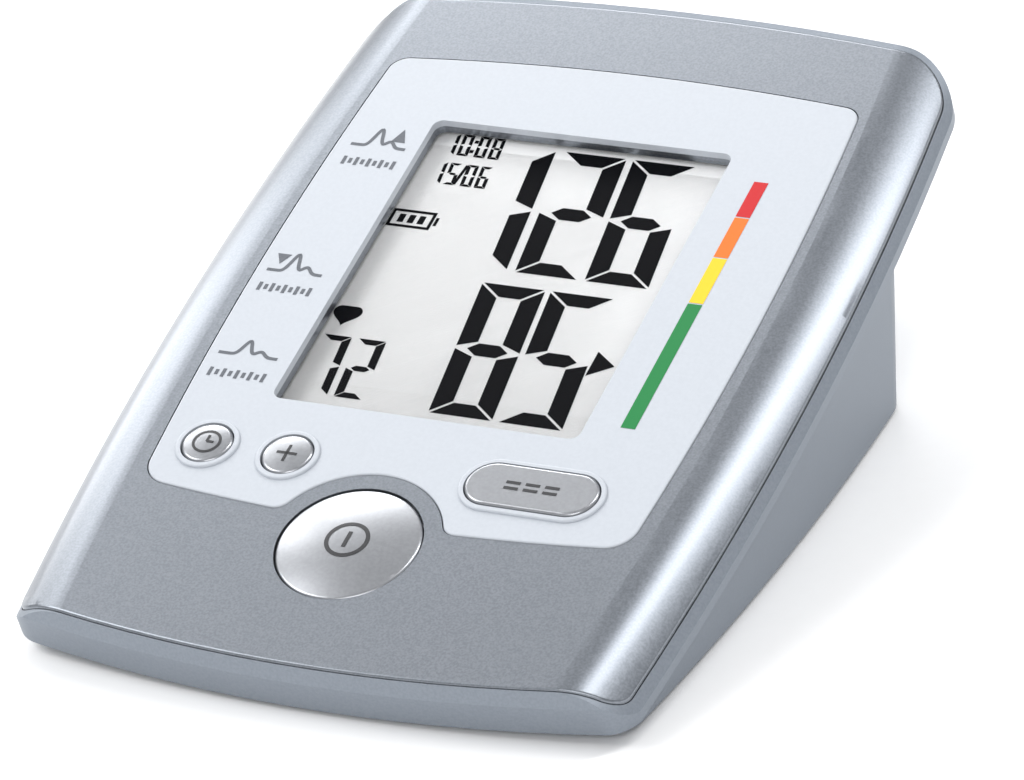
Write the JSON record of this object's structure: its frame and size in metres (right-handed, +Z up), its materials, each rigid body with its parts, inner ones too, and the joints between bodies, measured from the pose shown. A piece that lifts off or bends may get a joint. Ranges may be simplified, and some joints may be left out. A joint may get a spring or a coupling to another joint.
{
  "type": "upper arm blood pressure monitor",
  "caption": "Desk blood pressure monitor: silver cover with rolled sides over a grey wedge, large tilted display, round and long push buttons, hose socket and sliding battery door.",
  "frame": {"origin": "middle of the bounding box at the desk surface", "axes": "+X to the right seen from the front, +Y from the front edge to the back, +Z up"},
  "size_m": [0.103, 0.135, 0.0443],
  "materials": {
    "silver_cover": "metallic silver paint, satin",
    "silver_button": "metallic silver paint, satin",
    "grey_housing": "fine moulded texture",
    "pale_fascia": "smooth printed film",
    "clear_window": "clear, polished",
    "display_glass": "reflective display glass",
    "white_plastic": "moulded",
    "black_plastic": "moulded",
    "circuit_board": "green solder mask",
    "grey_rubber": "matt rubber",
    "silicone_tube": "milky silicone",
    "bright_steel": "plated steel",
    "cell_jacket": "plain wrapped cell"
  },
  "bodies": {
    "housing": {"top_cover": "silver_cover", "fascia": "pale_fascia", "base_housing": "grey_housing", "display_window": "clear_window", "display_frame": "white_plastic", "display_panel": "display_glass", "display_connector": "grey_rubber", "main_board": "circuit_board", "processor": "black_plastic", "buzzer": "black_plastic", "pressure_sensor": "white_plastic", "pump_motor": "bright_steel", "pump_head": "black_plastic", "pump_band": "grey_rubber", "release_valve": "bright_steel", "air_rail": "white_plastic", "air_socket": "black_plastic", "socket_nut": "black_plastic", "battery_contacts": "bright_steel", "rubber_feet": "grey_rubber", "case_screws": "bright_steel", "board_screws": "bright_steel", "display_screws": "bright_steel", "socket_tube": "silicone_tube", "valve_tube": "silicone_tube", "pump_tube": "silicone_tube", "sensor_tube": "silicone_tube", "cell_1": "cell_jacket", "cell_2": "cell_jacket", "cell_3": "cell_jacket", "cell_4": "cell_jacket", "start_stop_switch": "black_plastic", "set_switch": "black_plastic", "plus_switch": "black_plastic", "memory_switch": "black_plastic"},
    "battery_door": {"battery_door": "grey_housing"},
    "start_stop_button": {"start_stop_button": "silver_button", "start_stop_plunger": "black_plastic"},
    "set_button": {"set_button": "silver_button", "set_plunger": "black_plastic"},
    "plus_button": {"plus_button": "silver_button", "plus_plunger": "black_plastic"},
    "memory_button": {"memory_button": "silver_button", "memory_plunger": "black_plastic"}
  },
  "joints": [
    {"name": "start_stop_press", "type": "slide", "parent": "housing", "child": "start_stop_button", "axis": [0, 0.2639, -0.9646], "range_m": [0, 0.0005], "stiffness_N_per_m": 2000, "springref_m": -0.0002},
    {"name": "set_press", "type": "slide", "parent": "housing", "child": "set_button", "axis": [0, 0.2639, -0.9646], "range_m": [0, 0.0005], "stiffness_N_per_m": 2000, "springref_m": -0.0002},
    {"name": "plus_press", "type": "slide", "parent": "housing", "child": "plus_button", "axis": [0, 0.2639, -0.9646], "range_m": [0, 0.0005], "stiffness_N_per_m": 2000, "springref_m": -0.0002},
    {"name": "memory_press", "type": "slide", "parent": "housing", "child": "memory_button", "axis": [0, 0.2639, -0.9646], "range_m": [0, 0.0005], "stiffness_N_per_m": 2000, "springref_m": -0.0002},
    {"name": "battery_door_slide", "type": "slide", "parent": "housing", "child": "battery_door", "axis": [0, 1, 0], "range_m": [0, 0.052]}
  ]
}
